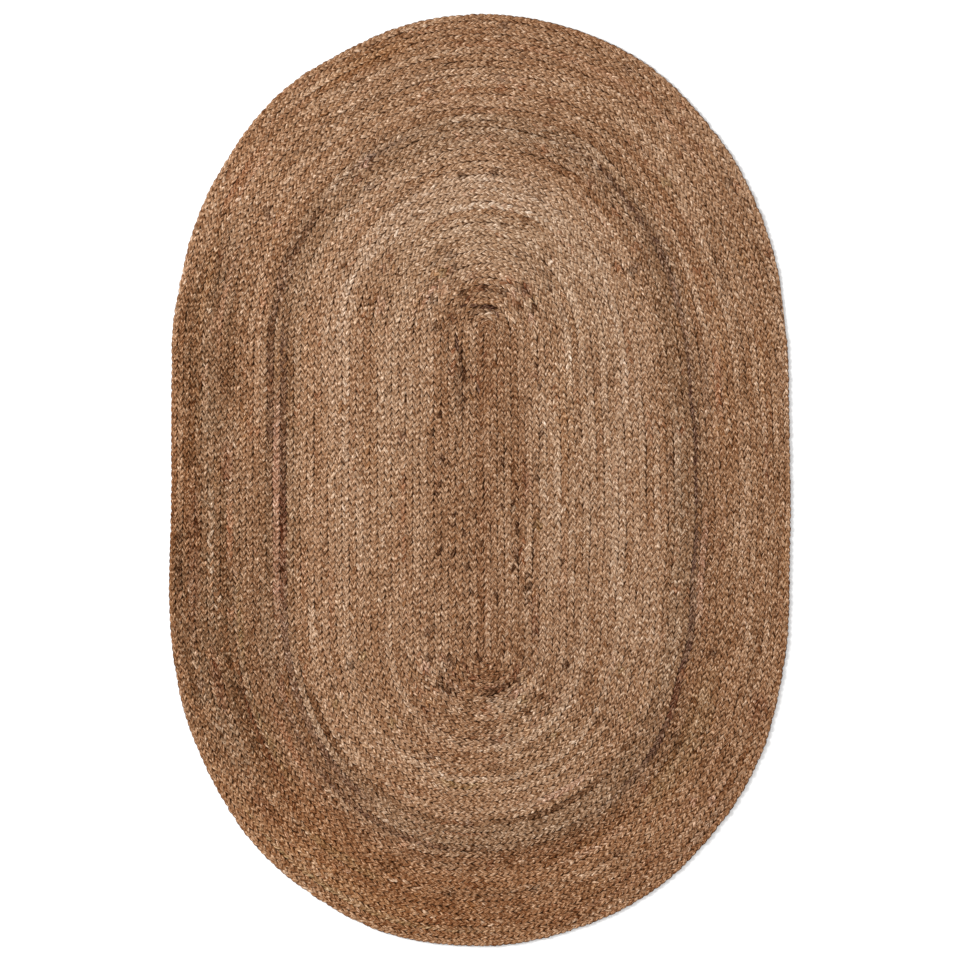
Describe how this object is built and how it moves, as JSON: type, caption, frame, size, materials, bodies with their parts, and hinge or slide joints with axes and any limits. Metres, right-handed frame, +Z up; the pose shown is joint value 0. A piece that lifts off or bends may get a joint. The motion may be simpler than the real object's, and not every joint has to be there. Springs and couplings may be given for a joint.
{
  "type": "oval braided jute rug",
  "caption": "Flat oval rug of coiled, sewn three-strand jute braid, for lying on a floor.",
  "frame": {"origin": "middle of the underside, where the rug lies on the floor", "axes": "+Z up, +Y along the rug's length, +X across its width"},
  "size_m": [1.2218, 1.8344, 0.008],
  "materials": {
    "jute": "coarse matte jute braid, natural tan with browner and redder lengths"
  },
  "bodies": {
    "root": {"jute_braid_coil": "jute"}
  },
  "joints": []
}
